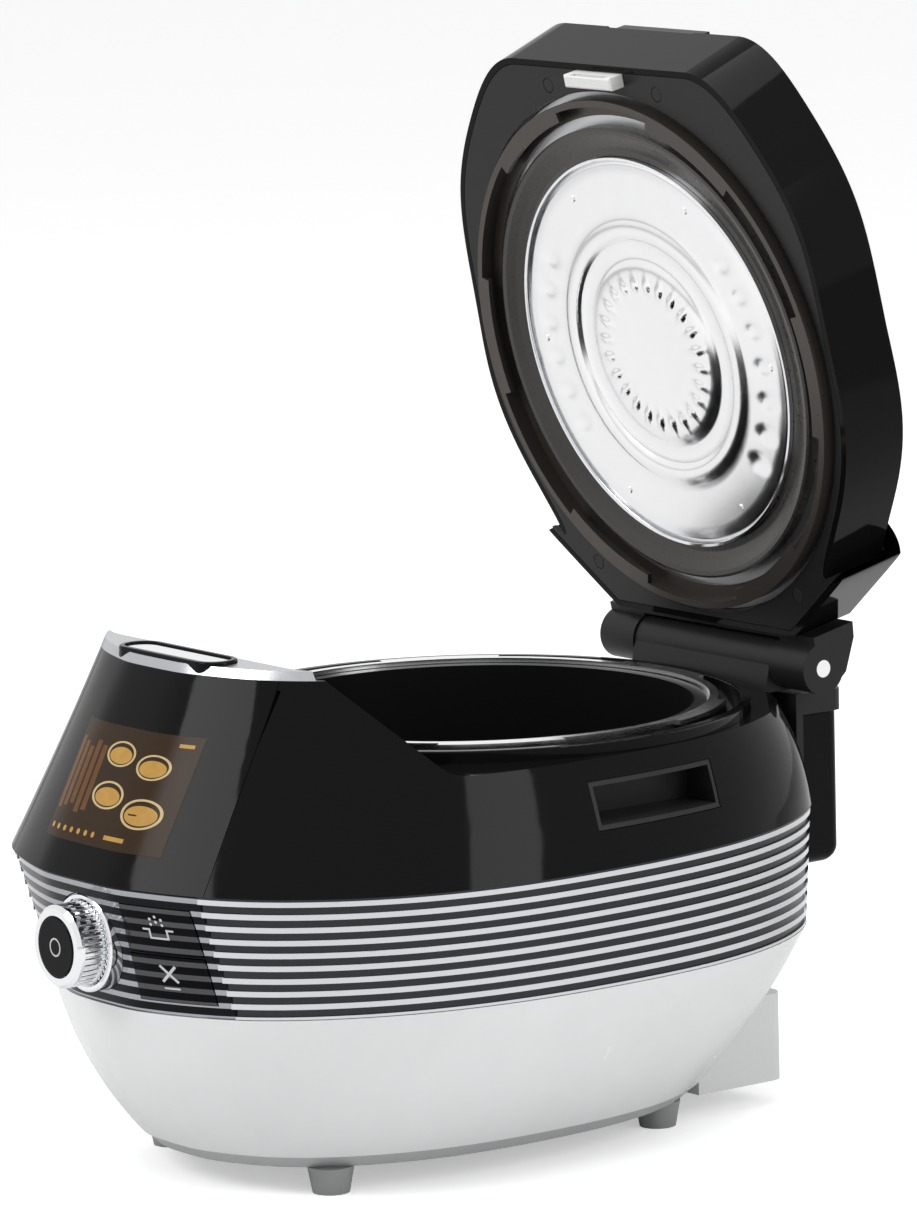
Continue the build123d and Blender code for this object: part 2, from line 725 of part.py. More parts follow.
# Electronics and cooling on the base plate
board_z = foot_h + plate_thick + 9
with BuildPart() as power_board:
    box_on(level(board_z), (-76, -26), (-14, 26), 1.6)
    disc(level(board_z + 1.6), 7, 12, [(-66, 12), (-66, -8)])
    box_on(level(board_z + 1.6), (-54, -20), (-36, 2), 11)
power_board.part.label = "power_board"
export_step(power_board.part, "parts/power_board.step")

with BuildPart() as heat_sink:
    box_on(level(board_z + 1.6), (-32, -22), (-16, 22), 3)
    for i in range(6):
        box_on(level(board_z + 4.6), (-32, -21 + 8 * i), (-16, -19 + 8 * i), 9)
heat_sink.part.label = "heat_sink"
export_step(heat_sink.part, "parts/heat_sink.step")

fan_low_z = foot_h + plate_thick
fan_axle_r = 2.0
with BuildPart() as fan_frame:
    with BuildSketch(level(fan_low_z)):
        with Locations((fan_x, fan_y)):
            RectangleRounded(2 * fan_r + 4, 2 * fan_r + 4, 5)
            Circle(fan_r, mode=Mode.SUBTRACT)
            Rectangle(2 * fan_r, 5)
            Circle(13)
    extrude(amount=2)
    with BuildSketch(level(fan_low_z + 2)):
        with Locations((fan_x, fan_y)):
            RectangleRounded(2 * fan_r + 4, 2 * fan_r + 4, 5)
            Circle(fan_r, mode=Mode.SUBTRACT)
    extrude(amount=fan_h - 2)
    disc(level(fan_low_z + 2), fan_axle_r, 12, [(fan_x, fan_y)])
fan_frame.part.label = "fan_frame"
export_step(fan_frame.part, "parts/fan_frame.step")

blade_count = 7
with BuildPart() as fan_rotor:
    disc(level(fan_low_z + 2.6), 13, 16, [(fan_x, fan_y)])
    with BuildSketch(level(fan_low_z + 4)):
        with Locations((fan_x, fan_y)):
            with PolarLocations(21.5, blade_count):
                Rectangle(24, 5, rotation=25)
    extrude(amount=12)
    disc(level(fan_low_z + 2.6), fan_axle_r + pin_fit, 11.8, [(fan_x, fan_y)], mode=Mode.SUBTRACT)
fan_rotor.part.label = "fan_rotor"
export_step(fan_rotor.part, "parts/fan_rotor.step")

# Rear: hinge bracket on the deck, holder and the box that catches drips
bracket_z = rim_z - 1.6
with BuildPart() as hinge_bracket:
    with BuildSketch(facing_side(-barrel_half)):
        with BuildLine():
            Polyline((hinge_y - 14, bracket_z), (hinge_y + barrel_r, bracket_z), (hinge_y + barrel_r, hinge_z))
            ThreePointArc(
                (hinge_y + barrel_r, hinge_z), (hinge_y, hinge_z + barrel_r), (hinge_y - barrel_r, hinge_z)
            )
            Polyline((hinge_y - barrel_r, hinge_z), (hinge_y - 14, bracket_z))
        make_face()
    extrude(amount=2 * barrel_half)
    with BuildSketch(facing_side(-barrel_half)):
        with Locations((hinge_y, hinge_z)):
            Circle(pin_r + pin_fit)
    extrude(amount=2 * barrel_half, mode=Mode.SUBTRACT)
    with BuildSketch(facing_side(-spring_half)):
        with Locations((hinge_y, hinge_z)):
            Circle(barrel_r - 2)
    extrude(amount=2 * spring_half, mode=Mode.SUBTRACT)
hinge_bracket.part.label = "hinge_bracket"
export_step(hinge_bracket.part, "parts/hinge_bracket.step")

with BuildPart() as hinge_pin:
    with BuildSketch(facing_side(-arm_half)):
        with Locations((hinge_y, hinge_z)):
            Circle(pin_r)
    extrude(amount=2 * arm_half)
hinge_pin.part.label = "hinge_pin"
export_step(hinge_pin.part, "parts/hinge_pin.step")

with BuildPart() as lid_spring:
    with BuildSketch(facing_side(seam - spring_half)):
        with Locations((hinge_y, hinge_z)):
            Circle(barrel_r - 2 - seam)
            Circle(pin_r + seam, mode=Mode.SUBTRACT)
    extrude(amount=2 * (spring_half - seam))
lid_spring.part.label = "lid_spring"
export_step(lid_spring.part, "parts/lid_spring.step")

holder_low_z = 101.0
drip_top_z = 176.0
drip_depth = 24.0
drip_half = 54.0
drip_wall = 2.0
with BuildPart() as rear_holder:
    box_on(facing_front(rear_flat_y + 2), (seam - holder_half, holder_low_z), (holder_half - seam, rim_z - 3), 4)
    box_on(
        facing_front(rear_flat_y + drip_depth + 3), (seam - holder_half, drip_top_z + 1),
        (holder_half - seam, rim_z - 3), drip_depth + 1,
    )
    fillet(rear_holder.edges().filter_by(Axis.Z).group_by(Axis.Y)[-1], 6)
rear_holder.part.label = "rear_holder"
export_step(rear_holder.part, "parts/rear_holder.step")

with BuildPart() as drip_box:
    box_on(
        facing_front(rear_flat_y + 2 + seam + drip_depth), (-drip_half, holder_low_z + 4), (drip_half, drip_top_z),
        drip_depth,
    )
    fillet(drip_box.edges().filter_by(Axis.Z).group_by(Axis.Y)[-1], 6)
    fillet(drip_box.edges().group_by(Axis.Z)[0].sort_by(Axis.Y)[-1], 8)
    box_on(
        facing_front(rear_flat_y + seam + drip_depth), (drip_wall - drip_half, holder_low_z + 13),
        (drip_half - drip_wall, drip_top_z), drip_depth - 2 * drip_wall, mode=Mode.SUBTRACT,
    )
drip_box.part.label = "drip_box"
export_step(drip_box.part, "parts/drip_box.step")

# Lid shell: straight sides and a low crown
crown_steps = [(0.0, lid_front_lean, 0.0), (-9.0, lid_front_lean, 0.5), (-30.0, 4.0, 0.85), (-52.0, 2.0, 1.0)]


def lid_body(grow=0.0, height=0.0):
    # the side walls, and the crown as a loft over them
    loft([lid_outline(lid_at(frame_n), grow), lid_outline(lid_at(lid_side_n), grow, lid_front_lean)])
    rise = lid_crown_n - lid_side_n + height
    faces = [lid_outline(lid_at(lid_side_n + rise * share), grow + step, lean) for step, lean, share in crown_steps]
    loft(faces)


vent_half = 31.0
vent_low_s = 127.0
vent_high_s = 143.0
vent_top_n = -47.0
valve_s = -30.0
valve_r = 21.0
with BuildPart() as lid_cavity:
    lid_body(-lid_wall, lid_wall)
with BuildPart() as lid_shell:
    lid_body()
    add(lid_cavity.part, mode=Mode.SUBTRACT)
    box_on(lid_at(vent_top_n), (-vent_half - seam, vent_low_s - seam), (vent_half + seam, vent_high_s + 30), 10,
           mode=Mode.SUBTRACT)
    disc(lid_at(lid_crown_n - 10), valve_r - 6, 20, [(0, valve_s)], mode=Mode.SUBTRACT)
lid_shell.part.label = "lid_shell"
export_step(lid_shell.part, "parts/lid_shell.step")

screw_places = [(39.7, 126.2), (-39.7, 126.2), (73.2, -109.6), (-73.2, -109.6)]
screw_r = 1.6
screw_head_r = 3.4
screw_head_h = 1.0
with BuildPart() as lid_frame:
    extrude(lid_outline(lid_at(frame_n), -lid_wall - seam), amount=-frame_t)
    disc(lid_at(floor_n - floor_t), lid_hole_r + 1.5, frame_n - floor_n + floor_t)
    disc(lid_at(floor_n - floor_t - 1), lid_hole_r, 20, mode=Mode.SUBTRACT)
    disc(lid_at(frame_n - 4), screw_r + 0.1, 8, screw_places, mode=Mode.SUBTRACT)
    disc(lid_at(frame_n - screw_head_h), screw_head_r + 0.2, 3, screw_places, mode=Mode.SUBTRACT)
    box_on(lid_at(frame_n - 4), (-catch_half - seam, catch_low_s - seam), (catch_half + seam, catch_high_s + seam), 8,
           mode=Mode.SUBTRACT)
lid_frame.part.label = "lid_frame"
export_step(lid_frame.part, "parts/lid_frame.step")

with BuildPart() as frame_screws:
    disc(lid_at(frame_n - screw_head_h), screw_head_r, screw_head_h, screw_places)
    fillet(frame_screws.edges().filter_by(GeomType.CIRCLE), 0.3)
    disc(lid_at(frame_n - 9), screw_r, 9, screw_places)
frame_screws.part.label = "frame_screws"
export_step(frame_screws.part, "parts/frame_screws.step")

# The catch stands out of the frame, and its window takes the tip of the latch slide
latch_n = lid_closed_z - latch_low_z
with BuildPart() as lid_catch:
    box_on(lid_at(frame_n - frame_t), (-catch_half, catch_low_s), (catch_half, catch_high_s), catch_n + frame_t - frame_n)
    chamfer(lid_catch.edges().group_by(Axis((0, 0, 0), (0, open_lid.z_dir.Y, open_lid.z_dir.Z)))[-1], 0.8)
    box_on(
        lid_at(latch_n - latch_t - 0.3), (-latch_half - 0.4, catch_high_s - latch_bite - 0.6),
        (latch_half + 0.4, catch_high_s + 1), latch_t + 0.6, mode=Mode.SUBTRACT,
    )
lid_catch.part.label = "lid_catch"
export_step(lid_catch.part, "parts/lid_catch.step")

with BuildPart() as pressure_plate:
    disc(lid_at(floor_n - floor_t), lid_hole_r - seam, floor_t)
    disc(lid_at(floor_n - floor_t - 1), 8, floor_t + 2, [(0, valve_s)], mode=Mode.SUBTRACT)
pressure_plate.part.label = "pressure_plate"
export_step(pressure_plate.part, "parts/pressure_plate.step")

ring_floor_n = floor_n + seam
with BuildPart() as lock_ring:
    ring(lid_at(ring_floor_n), lock_ring_r, lock_ring_r - 9, 1.6)
    ring(lid_at(ring_floor_n), lock_ring_r, lock_ring_r - lock_ring_wall, -ring_floor_n)
    lugs(lid_at(-lug_t), lock_ring_r - 1, lock_lug_r, lug_t, 90 + 180 / lug_count)
lock_ring.part.label = "lock_ring"
export_step(lock_ring.part, "parts/lock_ring.step")

# Gasket: a dished silicone lip that meets the pot's rim
with BuildPart() as gasket:
    with BuildSketch(across_lid(0)):
        with BuildLine():
            Polyline(
                (plate_r + 1.6, floor_n),
                (gasket_r, floor_n),
                (gasket_r, gasket_low_n - 0.6),
                (gasket_r - 1.2, gasket_low_n),
                (gasket_r - 3.2, gasket_low_n - 0.4),
                (gasket_r - 7.5, gasket_low_n - 2.6),
                (gasket_r - 11.5, gasket_low_n - 4.4),
                (plate_r + 1.6, gasket_low_n - 4.4),
                close=True,
            )
        make_face()
    revolve(axis=Axis(open_lid.origin, open_lid.z_dir))
gasket.part.label = "gasket"
export_step(gasket.part, "parts/gasket.step")

with BuildPart() as plate_ring:
    ring(lid_at(floor_n), plate_r + 1.4, plate_r - 5, plate_n - plate_t - floor_n)
    ring(lid_at(plate_n - plate_t), plate_r + 1.4, plate_r + 0.2, plate_t + 1.6)
plate_ring.part.label = "plate_ring"
export_step(plate_ring.part, "parts/plate_ring.step")

# Inner plate: pressed steel with a raised ring, a raised middle and eight steam holes
stud_places_r = 82.0
stud_r = 1.7
hole_place_r = 50.8
with BuildPart() as inner_plate:
    with BuildSketch(across_lid(0)):
        with BuildLine():
            Polyline(
                (0, plate_n + 1.6), (43.0, plate_n + 1.6), (45.4, plate_n), (54.0, plate_n),
                (56.0, plate_n + 1.4), (62.0, plate_n + 1.4), (64.0, plate_n), (plate_r, plate_n),
                (plate_r, plate_n - plate_t), (63.6, plate_n - plate_t), (61.6, plate_n + 0.6),
                (56.4, plate_n + 0.6), (54.4, plate_n - plate_t), (45.0, plate_n - plate_t),
                (42.6, plate_n + 0.8), (0, plate_n + 0.8), close=True,
            )
        make_face()
    revolve(axis=Axis(open_lid.origin, open_lid.z_dir))
    with BuildSketch(lid_at(plate_n - 3)):
        with PolarLocations(hole_place_r, 8, start_angle=90):
            Circle(1.7)
        with PolarLocations(stud_places_r, 6):
            Circle(stud_r + 0.1)
    extrude(amount=8, mode=Mode.SUBTRACT)
inner_plate.part.label = "inner_plate"
export_step(inner_plate.part, "parts/inner_plate.step")

with BuildPart() as plate_studs:
    with BuildSketch(lid_at(floor_n)):
        with PolarLocations(stud_places_r, 6):
            Circle(stud_r)
    extrude(amount=plate_n - floor_n + 1.2)
plate_studs.part.label = "plate_studs"
export_step(plate_studs.part, "parts/plate_studs.step")

# Arm: the lid's rear end, with a cheek each side of the bracket
hinge_s = -hinge_y
hinge_n = lid_closed_z - hinge_z
arm_front_s = lid_rear_s - seam
with BuildPart() as lid_arm:
    with BuildSketch(across_lid(-arm_half)):
        Polygon(
            (arm_front_s, -7), (arm_front_s, -31), (-138, -30), (-152, -22), (-158, -12),
            (hinge_s, hinge_n + 2), align=None,
        )
        with Locations((hinge_s, hinge_n)):
            Circle(knuckle_r)
    extrude(amount=2 * arm_half)
    with BuildSketch(across_lid(-barrel_half - 0.5)):
        with Locations((hinge_s, hinge_n)):
            Circle(arm_front_s - hinge_s - 2.5)
    extrude(amount=2 * barrel_half + 1, mode=Mode.SUBTRACT)
    with BuildSketch(across_lid(-arm_half)):
        with Locations((hinge_s, hinge_n)):
            Circle(pin_r + pin_fit)
    extrude(amount=2 * arm_half, mode=Mode.SUBTRACT)
lid_arm.part.label = "lid_arm"
export_step(lid_arm.part, "parts/lid_arm.step")

with BuildPart() as lid_vent:
    box_on(lid_at(vent_top_n), (-vent_half, vent_low_s), (vent_half, vent_high_s), 9)
    with BuildSketch(lid_at(vent_top_n)):
        with GridLocations(20, 0, 3, 1):
            with Locations((0, (vent_low_s + vent_high_s) / 2)):
                SlotOverall(13, 4)
    extrude(amount=5, mode=Mode.SUBTRACT)
lid_vent.part.label = "lid_vent"
export_step(lid_vent.part, "parts/lid_vent.step")

with BuildPart() as steam_duct:
    with BuildSketch(lid_at(floor_n - floor_t)):
        with Locations((0, valve_s)):
            Circle(12)
            Circle(8, mode=Mode.SUBTRACT)
    extrude(amount=lid_crown_n + lid_wall + seam - floor_n + floor_t)
steam_duct.part.label = "steam_duct"
export_step(steam_duct.part, "parts/steam_duct.step")

with BuildPart() as steam_cap:
    disc(lid_at(lid_crown_n), valve_r, -4, [(0, valve_s)])
    fillet(steam_cap.edges().filter_by(GeomType.CIRCLE).sort_by(Axis.Y)[-1], 1.5)
    box_on(lid_at(lid_crown_n - 5), (-12, valve_s - 2), (12, valve_s + 2), 6, mode=Mode.SUBTRACT)
steam_cap.part.label = "steam_cap"
export_step(steam_cap.part, "parts/steam_cap.step")

with BuildPart() as lock_motor:
    disc(lid_at(floor_n - floor_t), 13, -14, [(70, 55)])
    box_on(lid_at(floor_n - floor_t), (-88, 30), (-52, 74), -8)
lock_motor.part.label = "lock_motor"
export_step(lock_motor.part, "parts/lock_motor.step")
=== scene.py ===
import json
import math

import bmesh
import bpy
from mathutils import Matrix, Vector
from mathutils.bvhtree import BVHTree


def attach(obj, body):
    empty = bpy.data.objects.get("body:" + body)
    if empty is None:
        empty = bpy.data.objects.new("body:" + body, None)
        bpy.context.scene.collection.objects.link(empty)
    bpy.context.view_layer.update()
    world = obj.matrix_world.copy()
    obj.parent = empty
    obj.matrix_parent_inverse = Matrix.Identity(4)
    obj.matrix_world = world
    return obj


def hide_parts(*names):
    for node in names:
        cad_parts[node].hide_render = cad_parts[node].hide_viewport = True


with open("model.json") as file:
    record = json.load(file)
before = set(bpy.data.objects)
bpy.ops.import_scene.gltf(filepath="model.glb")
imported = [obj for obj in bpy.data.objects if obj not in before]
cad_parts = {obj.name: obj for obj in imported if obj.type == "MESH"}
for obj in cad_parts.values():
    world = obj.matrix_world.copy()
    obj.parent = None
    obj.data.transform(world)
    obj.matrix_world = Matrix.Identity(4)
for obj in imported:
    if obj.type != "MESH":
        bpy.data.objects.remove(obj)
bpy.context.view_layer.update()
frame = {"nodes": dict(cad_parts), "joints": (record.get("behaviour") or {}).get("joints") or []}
nodes = frame["nodes"]
joints = {joint["name"]: joint for joint in frame["joints"]}
print("frame loaded:", len(nodes), "nodes")

# The photograph's camera, in metres and degrees
cameraLook = {
    "place": (2.5397, -1.8793, 0.7520), "azimuth": 53.18, "elevation": 9.24, "roll": -1.46,
    "lens": 208.4, "longSide": 36.0,
}
casing = {
    "bandLow": 0.087, "bandHigh": 0.144, "bandEdge": 0.0012, "ridges": 9, "ridgeHeight": 0.0024,
    "screenX": 0.005, "screenHalf": 0.042, "screenLow": 0.158, "screenHigh": 0.207,
    "keyMiddle": 0.046, "cancelZ": 0.1035, "startZ": 0.1259, "knobZ": 0.115,
}


def placeCamera(look):
    azimuth, elevation, roll = (math.radians(look[k]) for k in ("azimuth", "elevation", "roll"))
    level = math.cos(elevation)
    away = Vector((math.sin(azimuth) * level, -math.cos(azimuth) * level, math.sin(elevation)))
    across = Vector((math.cos(azimuth), math.sin(azimuth), 0))
    up = away.cross(across)
    turned = across * math.cos(roll) + up * math.sin(roll)
    upright = up * math.cos(roll) - across * math.sin(roll)
    camera = bpy.data.objects.new("camera", bpy.data.cameras.new("camera"))
    camera.data.sensor_fit = "VERTICAL"
    camera.data.sensor_height = look["longSide"]
    camera.data.lens = look["lens"]
    camera.data.clip_end = 50
    turn = Matrix((turned, upright, away)).transposed().to_4x4()
    camera.matrix_world = Matrix.Translation(look["place"]) @ turn
    bpy.context.scene.collection.objects.link(camera)
    bpy.context.scene.camera = camera


def link(nodeTree, a, b):
    nodeTree.links.new(a, b)


def newMaterial(name):
    made = bpy.data.materials.new(name)
    made.use_nodes = True
    return made, made.node_tree, made.node_tree.nodes["Principled BSDF"]


# Each finish: colour, roughness and its spread, metal share, and the grain's scale and height
finishes = {
    "blackGloss": {"colour": (0.0045, 0.0045, 0.005), "rough": (0.05, 0.08), "grain": (60, 0.01), "specular": 0.07},
    "blackMatte": {"colour": (0.014, 0.014, 0.015), "rough": (0.34, 0.46), "grain": (900, 0.1), "specular": 0.2},
    "frameGrey": {"colour": (0.011, 0.011, 0.012), "rough": (0.3, 0.4), "grain": (1400, 0.08), "specular": 0.22},
    "pearlWhite": {"colour": (0.72, 0.73, 0.735), "rough": (0.2, 0.3), "grain": (40, 0.02), "coat": 0.5},
    "supportWhite": {"colour": (0.62, 0.63, 0.63), "rough": (0.4, 0.5), "grain": (700, 0.05)},
    "trayGrey": {"colour": (0.42, 0.43, 0.43), "rough": (0.4, 0.52), "grain": (700, 0.08)},
    "footGrey": {"colour": (0.33, 0.34, 0.34), "rough": (0.35, 0.5), "grain": (500, 0.05), "through": 0.25},
    "polishedChrome": {"colour": (0.82, 0.83, 0.85), "rough": (0.04, 0.09), "grain": (50, 0.01), "metal": 1.0},
    "brushedSilver": {"colour": (0.46, 0.47, 0.49), "rough": (0.2, 0.32), "grain": (260, 0.03), "metal": 1.0,
                      "stretch": (0.05, 1, 1)},
    "steel": {"colour": (0.88, 0.88, 0.89), "rough": (0.14, 0.24), "grain": (120, 0.02), "metal": 1.0},
    "potCoat": {"colour": (0.006, 0.006, 0.0065), "rough": (0.24, 0.36), "grain": (1600, 0.08), "specular": 0.14},
    "silicone": {"colour": (0.03, 0.027, 0.024), "rough": (0.22, 0.36), "grain": (300, 0.04)},
    "ringBronze": {"colour": (0.06, 0.052, 0.046), "rough": (0.24, 0.36), "grain": (500, 0.05), "metal": 0.5},
    "copper": {"colour": (0.55, 0.22, 0.1), "rough": (0.3, 0.45), "grain": (400, 0.2), "metal": 1.0},
    "ferrite": {"colour": (0.02, 0.02, 0.02), "rough": (0.6, 0.7), "grain": (900, 0.2)},
    "boardGreen": {"colour": (0.02, 0.12, 0.05), "rough": (0.35, 0.5), "grain": (600, 0.05)},
    "aluminium": {"colour": (0.6, 0.61, 0.62), "rough": (0.3, 0.45), "grain": (300, 0.05), "metal": 1.0},
    "milkWhite": {"colour": (0.75, 0.75, 0.74), "rough": (0.3, 0.42), "grain": (500, 0.04)},
    # painted shade: a near-black finish for the discs that stand in for the dark inside of the steam holes
    "holeShade": {"colour": (0.003, 0.003, 0.003), "rough": (0.6, 0.7), "grain": (500, 0.02)},
}


def finish(name, look):
    material, tree, shader = newMaterial(name)
    place = tree.nodes.new("ShaderNodeTexCoord")
    mapping = tree.nodes.new("ShaderNodeMapping")
    mapping.inputs["Scale"].default_value = look.get("stretch", (1, 1, 1))
    link(tree, place.outputs["Object"], mapping.inputs["Vector"])
    grain = tree.nodes.new("ShaderNodeTexNoise")
    grain.inputs["Scale"].default_value = look["grain"][0]
    grain.inputs["Detail"].default_value = 3
    link(tree, mapping.outputs["Vector"], grain.inputs["Vector"])
    spread = tree.nodes.new("ShaderNodeMapRange")
    spread.inputs["To Min"].default_value, spread.inputs["To Max"].default_value = look["rough"]
    link(tree, grain.outputs["Fac"], spread.inputs["Value"])
    link(tree, spread.outputs["Result"], shader.inputs["Roughness"])
    tint = tree.nodes.new("ShaderNodeMix")
    tint.data_type = "RGBA"
    tint.inputs["A"].default_value = (*[c * 0.93 for c in look["colour"]], 1)
    tint.inputs["B"].default_value = (*look["colour"], 1)
    link(tree, grain.outputs["Fac"], tint.inputs["Factor"])
    link(tree, tint.outputs["Result"], shader.inputs["Base Color"])
    bump = tree.nodes.new("ShaderNodeBump")
    bump.inputs["Strength"].default_value = look["grain"][1]
    bump.inputs["Distance"].default_value = 0.0002
    link(tree, grain.outputs["Fac"], bump.inputs["Height"])
    link(tree, bump.outputs["Normal"], shader.inputs["Normal"])
    shader.inputs["Metallic"].default_value = look.get("metal", 0.0)
    shader.inputs["Specular IOR Level"].default_value = look.get("specular", 0.5)
    shader.inputs["Coat Weight"].default_value = look.get("coat", 0.0)
    shader.inputs["Transmission Weight"].default_value = look.get("through", 0.0)
    return material


def bandFinish(name, groove, ridge):
    # bright ridges between dark grooves, told apart by their height
    material, tree, shader = newMaterial(name)
    place = tree.nodes.new("ShaderNodeTexCoord")
    parts = tree.nodes.new("ShaderNodeSeparateXYZ")
    link(tree, place.outputs["Object"], parts.inputs["Vector"])
    pitch = (casing["bandHigh"] - casing["bandLow"] - 2 * casing["bandEdge"]) / casing["ridges"]
    value = parts.outputs["Z"]
    for kind, amount in (("SUBTRACT", casing["bandLow"] + casing["bandEdge"]), ("DIVIDE", pitch), ("FRACT", 0),
                         ("GREATER_THAN", (pitch - casing["ridgeHeight"]) / pitch - 0.01)):
        step = tree.nodes.new("ShaderNodeMath")
        step.operation = kind
        link(tree, value, step.inputs[0])
        step.inputs[1].default_value = amount
        value = step.outputs[0]
    tint = tree.nodes.new("ShaderNodeMix")
    tint.data_type = "RGBA"
    tint.inputs["A"].default_value = (*groove, 1)
    tint.inputs["B"].default_value = (*ridge, 1)
    link(tree, value, tint.inputs["Factor"])
    link(tree, tint.outputs["Result"], shader.inputs["Base Color"])
    rough = tree.nodes.new("ShaderNodeMapRange")
    rough.inputs["To Min"].default_value, rough.inputs["To Max"].default_value = 0.3, 0.12
    link(tree, value, rough.inputs["Value"])
    link(tree, rough.outputs["Result"], shader.inputs["Roughness"])
    shader.inputs["Metallic"].default_value = 1.0
    return material


def glowing(name, colour, strength):
    material, tree, shader = newMaterial(name)
    shader.inputs["Base Color"].default_value = (0.01, 0.008, 0.006, 1)
    place = tree.nodes.new("ShaderNodeTexCoord")
    grain = tree.nodes.new("ShaderNodeTexNoise")
    grain.inputs["Scale"].default_value = 220
    link(tree, place.outputs["Object"], grain.inputs["Vector"])
    tint = tree.nodes.new("ShaderNodeMix")
    tint.data_type = "RGBA"
    tint.inputs["A"].default_value = (*[c * 0.7 for c in colour], 1)
    tint.inputs["B"].default_value = (*colour, 1)
    link(tree, grain.outputs["Fac"], tint.inputs["Factor"])
    link(tree, tint.outputs["Result"], shader.inputs["Emission Color"])
    shader.inputs["Emission Strength"].default_value = strength
    shader.inputs["Roughness"].default_value = 0.15
    shader.inputs["Specular IOR Level"].default_value = 0.07
    return material


paint = {name: finish(name, look) for name, look in finishes.items()}
paint["band"] = bandFinish("bandRidges", (0.04, 0.041, 0.045), (0.6, 0.61, 0.63))
paint["bandPanel"] = bandFinish("panelRidges", (0.012, 0.012, 0.014), (0.34, 0.35, 0.37))
paint["bandKey"] = bandFinish("keyRidges", (0.006, 0.006, 0.007), (0.075, 0.077, 0.08))
paint["screenGround"] = glowing("screenGround", (0.035, 0.018, 0.007), 1.0)
paint["amber"] = glowing("amber", (0.75, 0.42, 0.10), 0.8)
paint["straw"] = glowing("straw", (0.85, 0.66, 0.34), 0.8)
paint["brown"] = glowing("brown", (0.16, 0.07, 0.025), 1.0)
paint["markWhite"] = glowing("markWhite", (0.8, 0.8, 0.78), 0.8)

worn = {
    "pearlWhite": ["lower_shell"],
    "supportWhite": ["rear_support"],
    "trayGrey": ["base_plate"],
    "footGrey": ["feet"],
    "band": ["trim_band"],
    "bandPanel": ["control_panel"],
    "bandKey": ["cancel_key", "start_key"],
    "blackGloss": ["ok_button", "button_bezel", "upper_shell", "front_window",
                   "deck_ring", "lid_shell", "drip_box"],
    "blackMatte": ["power_inlet", "key_switches", "side_grips", "fan_frame", "fan_rotor", "hinge_bracket",
                   "rear_holder", "frame_screws", "lid_arm", "lid_vent", "steam_cap", "lock_motor"],
    "frameGrey": ["lid_frame"],
    "polishedChrome": ["knob_bezel", "knob_ring", "release_button", "plate_ring"],
    "brushedSilver": ["front_cap"],
    "steel": ["foot_screws", "encoder", "latch_slide", "lock_collar", "hinge_pin", "lid_spring", "inner_plate",
              "plate_studs"],
    "potCoat": ["inner_pot"],
    "silicone": ["gasket"],
    "ringBronze": ["lock_ring"],
    "copper": ["induction_coil"],
    "ferrite": ["ferrite_bars"],
    "boardGreen": ["control_board", "power_board"],
    "aluminium": ["heater_bowl", "pot_sensor", "heat_sink", "pressure_plate", "steam_duct"],
    "milkWhite": ["coil_carrier", "lid_catch"],
    "screenGround": ["screen_module"],
}
for finishName, names in worn.items():
    for name in names:
        nodes[name].data.materials.clear()
        nodes[name].data.materials.append(paint[finishName])
print("finishes on", sum(len(names) for names in worn.values()), "nodes")


def piece(name, bm, material, body, smooth=True):
    mesh = bpy.data.meshes.new(name)
    bm.to_mesh(mesh)
    bm.free()
    if smooth:
        mesh.shade_smooth()
    mesh.materials.append(paint[material])
    made = bpy.data.objects.new(name, mesh)
    bpy.context.scene.collection.objects.link(made)
    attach(made, body)
    return made


def surfaceOf(name):
    bm = bmesh.new()
    bm.from_mesh(nodes[name].data)
    tree = BVHTree.FromBMesh(bm)
    bm.free()
    return tree


surfaces = {name: surfaceOf(name) for name in ("front_window", "start_key", "cancel_key", "ok_button")}


def laidOn(bm, surface, lift=0.00012):
    # flat faces drawn in x and z are pushed along +Y until they lie just in front of the surface
    for v in bm.verts:
        hit = surfaces[surface].ray_cast(Vector((v.co.x, -0.5, v.co.z)), Vector((0, 1, 0)))
        v.co.y = hit[0].y - lift if hit[0] else v.co.y
    return bm


def patch(x, z, width, height, steps=6):
    bm = bmesh.new()
    bmesh.ops.create_grid(bm, x_segments=steps, y_segments=steps, size=0.5)
    place = Matrix.Translation((x, 0, z)) @ Matrix.Rotation(math.pi / 2, 4, "X")
    bmesh.ops.transform(bm, matrix=place @ Matrix.Diagonal((width, height, 1, 1)), verts=bm.verts)
    return bm


def roundPatch(x, z, outer, inner=0.0, squash=1.0, turns=40):
    bm = bmesh.new()
    made = bmesh.ops.create_circle(bm, segments=turns, radius=outer, cap_ends=inner == 0.0)
    if inner:
        edges = bm.edges[:]
        grown = bmesh.ops.extrude_edge_only(bm, edges=edges)
        ringVerts = [g for g in grown["geom"] if isinstance(g, bmesh.types.BMVert)]
        bmesh.ops.scale(bm, vec=(inner / outer, inner / outer, 1), verts=ringVerts)
    else:
        bmesh.ops.poke(bm, faces=bm.faces)
    place = Matrix.Translation((x, 0, z)) @ Matrix.Rotation(math.pi / 2, 4, "X")
    bmesh.ops.transform(bm, matrix=place @ Matrix.Diagonal((1, squash, 1, 1)), verts=bm.verts)
    return bm


def joined(parts):
    whole = bmesh.new()
    for part in parts:
        mesh = bpy.data.meshes.new("part")
        part.to_mesh(mesh)
        part.free()
        whole.from_mesh(mesh)
        bpy.data.meshes.remove(mesh)
    return whole


